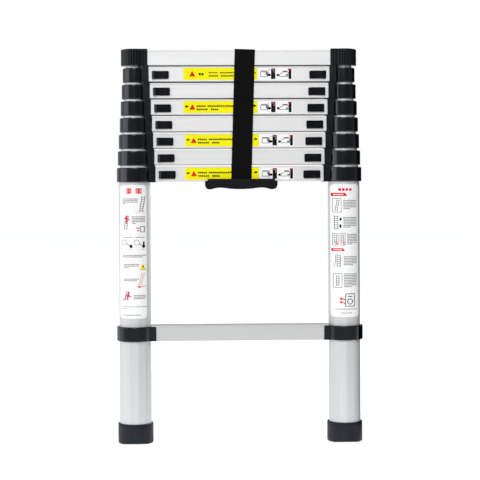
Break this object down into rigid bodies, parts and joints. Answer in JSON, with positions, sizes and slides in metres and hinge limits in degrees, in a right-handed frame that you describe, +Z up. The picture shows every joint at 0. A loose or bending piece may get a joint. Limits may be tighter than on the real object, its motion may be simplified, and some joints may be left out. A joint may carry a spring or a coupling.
{
  "type": "telescoping ladder",
  "caption": "Telescoping ladder pushed closed: nested aluminium tubes, stacked flat rungs with thumb latches, rubber feet, a webbing strap and a carrying grip.",
  "frame": {"origin": "on the floor, midway between the two feet, at the bottom centre of the closed ladder's box", "axes": "+Z up along the tubes, +X across the ladder along the rungs, -Y towards the side the latches face"},
  "size_m": [0.4684, 0.0704, 0.7452],
  "materials": {
    "tube_aluminium": "satin anodised, drawn lengthwise",
    "rung_aluminium": "satin anodised",
    "black_plastic": "moulded, fine texture",
    "latch_plastic": "moulded, semi-matt",
    "grip_plastic": "moulded, matt",
    "rubber": "matt",
    "nylon": "natural nylon",
    "spring_steel": "bright spring wire",
    "webbing": "woven polypropylene",
    "label_film": "printed adhesive film, on thin visual pieces only"
  },
  "bodies": {
    "base": {"foot_left": "rubber", "foot_right": "rubber", "tube_1_left": "tube_aluminium", "tube_1_right": "tube_aluminium", "bottom_clamps": "black_plastic", "bottom_rung": "rung_aluminium", "collars_1": "black_plastic", "rung_1": "rung_aluminium", "springs_1": "spring_steel"},
    "section_2": {"tubes_2": "tube_aluminium", "bushes_2": "nylon", "collars_2": "black_plastic", "rung_2": "rung_aluminium", "springs_2": "spring_steel"},
    "section_3": {"tubes_3": "tube_aluminium", "bushes_3": "nylon", "collars_3": "black_plastic", "rung_3": "rung_aluminium", "springs_3": "spring_steel"},
    "section_4": {"tubes_4": "tube_aluminium", "bushes_4": "nylon", "collars_4": "black_plastic", "rung_4": "rung_aluminium", "springs_4": "spring_steel"},
    "section_5": {"tubes_5": "tube_aluminium", "bushes_5": "nylon", "collars_5": "black_plastic", "rung_5": "rung_aluminium", "springs_5": "spring_steel"},
    "section_6": {"tubes_6": "tube_aluminium", "bushes_6": "nylon", "collars_6": "black_plastic", "rung_6": "rung_aluminium", "springs_6": "spring_steel"},
    "section_7": {"tubes_7": "tube_aluminium", "bushes_7": "nylon", "collars_7": "black_plastic", "rung_7": "rung_aluminium", "springs_7": "spring_steel"},
    "section_8": {"tubes_8": "tube_aluminium", "bushes_8": "nylon", "top_cap_left": "black_plastic", "top_cap_right": "black_plastic", "top_rung": "rung_aluminium", "strap": "webbing", "carrying_grip": "grip_plastic"},
    "latch_1_left": {"latch_1_left": "latch_plastic"},
    "latch_1_right": {"latch_1_right": "latch_plastic"},
    "latch_2_left": {"latch_2_left": "latch_plastic"},
    "latch_2_right": {"latch_2_right": "latch_plastic"},
    "latch_3_left": {"latch_3_left": "latch_plastic"},
    "latch_3_right": {"latch_3_right": "latch_plastic"},
    "latch_4_left": {"latch_4_left": "latch_plastic"},
    "latch_4_right": {"latch_4_right": "latch_plastic"},
    "latch_5_left": {"latch_5_left": "latch_plastic"},
    "latch_5_right": {"latch_5_right": "latch_plastic"},
    "latch_6_left": {"latch_6_left": "latch_plastic"},
    "latch_6_right": {"latch_6_right": "latch_plastic"},
    "latch_7_left": {"latch_7_left": "latch_plastic"},
    "latch_7_right": {"latch_7_right": "latch_plastic"}
  },
  "joints": [
    {"name": "extend_2", "type": "slide", "parent": "base", "child": "section_2", "axis": [0, 0, 1], "range_m": [0, 0.2686]},
    {"name": "extend_3", "type": "slide", "parent": "section_2", "child": "section_3", "axis": [0, 0, 1], "range_m": [0, 0.2686]},
    {"name": "extend_4", "type": "slide", "parent": "section_3", "child": "section_4", "axis": [0, 0, 1], "range_m": [0, 0.2686]},
    {"name": "extend_5", "type": "slide", "parent": "section_4", "child": "section_5", "axis": [0, 0, 1], "range_m": [0, 0.2686]},
    {"name": "extend_6", "type": "slide", "parent": "section_5", "child": "section_6", "axis": [0, 0, 1], "range_m": [0, 0.2686]},
    {"name": "extend_7", "type": "slide", "parent": "section_6", "child": "section_7", "axis": [0, 0, 1], "range_m": [0, 0.2686]},
    {"name": "extend_8", "type": "slide", "parent": "section_7", "child": "section_8", "axis": [0, 0, 1], "range_m": [0, 0.2686], "deforming": ["strap", "carrying_grip"]},
    {"name": "thumb_1_left", "type": "slide", "parent": "base", "child": "latch_1_left", "axis": [1, 0, 0], "range_m": [0, 0.008], "stiffness_N_per_m": 600, "springref_m": -0.004, "deforming": ["springs_1"]},
    {"name": "thumb_1_right", "type": "slide", "parent": "base", "child": "latch_1_right", "axis": [-1, 0, 0], "range_m": [0, 0.008], "stiffness_N_per_m": 600, "springref_m": -0.004},
    {"name": "thumb_2_left", "type": "slide", "parent": "section_2", "child": "latch_2_left", "axis": [1, 0, 0], "range_m": [0, 0.008], "stiffness_N_per_m": 600, "springref_m": -0.004, "deforming": ["springs_2"]},
    {"name": "thumb_2_right", "type": "slide", "parent": "section_2", "child": "latch_2_right", "axis": [-1, 0, 0], "range_m": [0, 0.008], "stiffness_N_per_m": 600, "springref_m": -0.004},
    {"name": "thumb_3_left", "type": "slide", "parent": "section_3", "child": "latch_3_left", "axis": [1, 0, 0], "range_m": [0, 0.008], "stiffness_N_per_m": 600, "springref_m": -0.004, "deforming": ["springs_3"]},
    {"name": "thumb_3_right", "type": "slide", "parent": "section_3", "child": "latch_3_right", "axis": [-1, 0, 0], "range_m": [0, 0.008], "stiffness_N_per_m": 600, "springref_m": -0.004},
    {"name": "thumb_4_left", "type": "slide", "parent": "section_4", "child": "latch_4_left", "axis": [1, 0, 0], "range_m": [0, 0.008], "stiffness_N_per_m": 600, "springref_m": -0.004, "deforming": ["springs_4"]},
    {"name": "thumb_4_right", "type": "slide", "parent": "section_4", "child": "latch_4_right", "axis": [-1, 0, 0], "range_m": [0, 0.008], "stiffness_N_per_m": 600, "springref_m": -0.004},
    {"name": "thumb_5_left", "type": "slide", "parent": "section_5", "child": "latch_5_left", "axis": [1, 0, 0], "range_m": [0, 0.008], "stiffness_N_per_m": 600, "springref_m": -0.004, "deforming": ["springs_5"]},
    {"name": "thumb_5_right", "type": "slide", "parent": "section_5", "child": "latch_5_right", "axis": [-1, 0, 0], "range_m": [0, 0.008], "stiffness_N_per_m": 600, "springref_m": -0.004},
    {"name": "thumb_6_left", "type": "slide", "parent": "section_6", "child": "latch_6_left", "axis": [1, 0, 0], "range_m": [0, 0.008], "stiffness_N_per_m": 600, "springref_m": -0.004, "deforming": ["springs_6"]},
    {"name": "thumb_6_right", "type": "slide", "parent": "section_6", "child": "latch_6_right", "axis": [-1, 0, 0], "range_m": [0, 0.008], "stiffness_N_per_m": 600, "springref_m": -0.004},
    {"name": "thumb_7_left", "type": "slide", "parent": "section_7", "child": "latch_7_left", "axis": [1, 0, 0], "range_m": [0, 0.008], "stiffness_N_per_m": 600, "springref_m": -0.004, "deforming": ["springs_7"]},
    {"name": "thumb_7_right", "type": "slide", "parent": "section_7", "child": "latch_7_right", "axis": [-1, 0, 0], "range_m": [0, 0.008], "stiffness_N_per_m": 600, "springref_m": -0.004}
  ]
}
